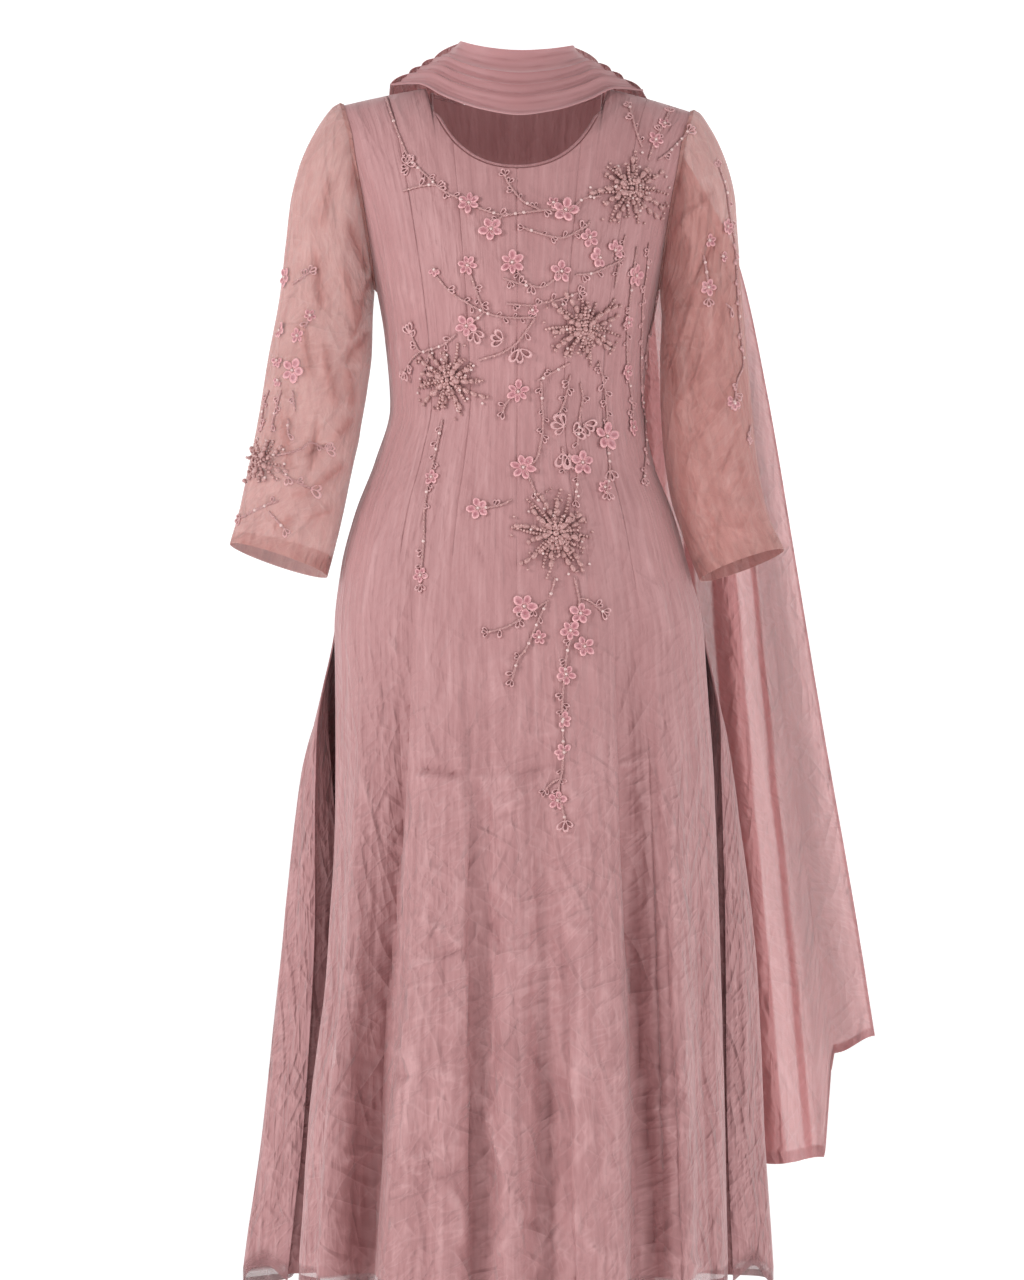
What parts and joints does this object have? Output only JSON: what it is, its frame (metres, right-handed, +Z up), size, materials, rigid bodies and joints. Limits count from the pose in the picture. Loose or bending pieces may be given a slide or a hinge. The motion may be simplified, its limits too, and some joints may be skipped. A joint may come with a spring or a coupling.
{
  "type": "salwar kameez suit",
  "caption": "Long flared kameez with side slits, scoop neck, sheer sleeves and beaded floral embroidery, with a pleated dupatta and a straight salwar, in worn form.",
  "frame": {"origin": "between the tops of the wearer's shoulders, where the kameez hangs from them", "axes": "+Z up along the length of the suit, -Y the way the front faces, +X to the right as seen from the front"},
  "size_m": [0.6723, 0.4546, 1.4316],
  "materials": {
    "kameez_chiffon": "crinkled silky chiffon over a plain ground, soft sheen",
    "sleeve_chiffon": "single sheer chiffon, crinkled",
    "dupatta_chiffon": "sheer chiffon with narrow rolled hems",
    "salwar_cloth": "plain smooth crepe",
    "binding": "narrow piped edge"
  },
  "bodies": {
    "root": {"front_gore_1": "kameez_chiffon", "front_gore_2": "kameez_chiffon", "front_gore_3": "kameez_chiffon", "front_gore_4": "kameez_chiffon", "front_gore_5": "kameez_chiffon", "front_gore_6": "kameez_chiffon", "kameez_back": "kameez_chiffon", "sleeve_left": "sleeve_chiffon", "sleeve_right": "sleeve_chiffon", "neck_binding": "binding", "dupatta_neck": "dupatta_chiffon", "dupatta_tail_left": "dupatta_chiffon", "dupatta_tail_right": "dupatta_chiffon", "salwar_leg_left": "salwar_cloth", "salwar_leg_right": "salwar_cloth", "salwar_waistband": "salwar_cloth"}
  },
  "joints": []
}
